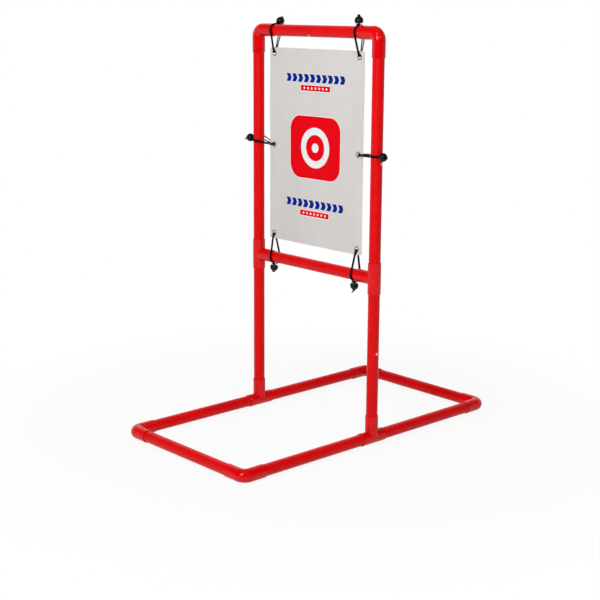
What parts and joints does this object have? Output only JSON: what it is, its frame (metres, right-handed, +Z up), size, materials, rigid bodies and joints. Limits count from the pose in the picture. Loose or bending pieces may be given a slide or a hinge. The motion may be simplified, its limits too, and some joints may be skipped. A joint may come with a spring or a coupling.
{
  "type": "pitching target net",
  "caption": "Tubular floor-standing frame with a framed target sheet hung on elastic ball bungees, for throwing practice.",
  "frame": {"origin": "on the floor, midway between the two uprights", "axes": "+Z up, +X to the right and -Y towards the pitcher, who faces the sheet"},
  "size_m": [0.5705, 0.956, 1.1601],
  "materials": {
    "tube_paint": "satin powder coat",
    "fitting_plastic": "glossy moulded plastic",
    "sheet_vinyl": "matt coated fabric",
    "eyelet_metal": "dark nickel plate",
    "cord_elastic": "braided elastic",
    "ball_plastic": "semi-gloss"
  },
  "bodies": {
    "ground_tees": {"left_base_tee": "fitting_plastic", "right_base_tee": "fitting_plastic"},
    "front_frame": {"front_left_side_tube": "tube_paint", "front_right_side_tube": "tube_paint", "front_left_elbow": "fitting_plastic", "front_right_elbow": "fitting_plastic", "front_rail_tube": "tube_paint"},
    "rear_frame": {"rear_left_side_tube": "tube_paint", "rear_right_side_tube": "tube_paint", "rear_left_elbow": "fitting_plastic", "rear_right_elbow": "fitting_plastic", "rear_rail_tube": "tube_paint"},
    "upright_frame": {"left_lower_upright": "tube_paint", "right_lower_upright": "tube_paint", "left_crossbar_tee": "fitting_plastic", "right_crossbar_tee": "fitting_plastic", "crossbar_tube": "tube_paint", "left_upper_upright": "tube_paint", "right_upper_upright": "tube_paint", "top_left_elbow": "fitting_plastic", "top_right_elbow": "fitting_plastic", "top_rail_tube": "tube_paint", "bungee_cord_top_left": "cord_elastic", "bungee_cord_top_right": "cord_elastic", "bungee_cord_mid_left": "cord_elastic", "bungee_cord_mid_right": "cord_elastic", "bungee_cord_low_left": "cord_elastic", "bungee_cord_low_right": "cord_elastic", "bungee_ball_top_left": "ball_plastic", "bungee_ball_top_right": "ball_plastic", "bungee_ball_mid_left": "ball_plastic", "bungee_ball_mid_right": "ball_plastic", "bungee_ball_low_left": "ball_plastic", "bungee_ball_low_right": "ball_plastic", "bungee_knot_top_left": "cord_elastic", "bungee_knot_top_right": "cord_elastic", "bungee_knot_mid_left": "cord_elastic", "bungee_knot_mid_right": "cord_elastic", "bungee_knot_low_left": "cord_elastic", "bungee_knot_low_right": "cord_elastic"},
    "target": {"target_sheet": "sheet_vinyl", "sheet_eyelets": "eyelet_metal", "eyelet_washers": "eyelet_metal"}
  },
  "joints": [
    {"name": "front_frame_slide", "type": "slide", "parent": "ground_tees", "child": "front_frame", "axis": [0, -1, 0], "range_m": [0, 0.03]},
    {"name": "rear_frame_slide", "type": "slide", "parent": "ground_tees", "child": "rear_frame", "axis": [0, 1, 0], "range_m": [0, 0.03]},
    {"name": "upright_frame_lift", "type": "slide", "parent": "ground_tees", "child": "upright_frame", "axis": [0, 0, 1], "range_m": [0, 0.05]},
    {"name": "target_give", "type": "slide", "parent": "upright_frame", "child": "target", "axis": [0, 1, 0], "range_m": [-0.04, 0.06], "stiffness_N_per_m": 1200, "deforming": ["bungee_cord_top_left", "bungee_cord_top_right", "bungee_cord_mid_left", "bungee_cord_mid_right", "bungee_cord_low_left", "bungee_cord_low_right"]}
  ]
}
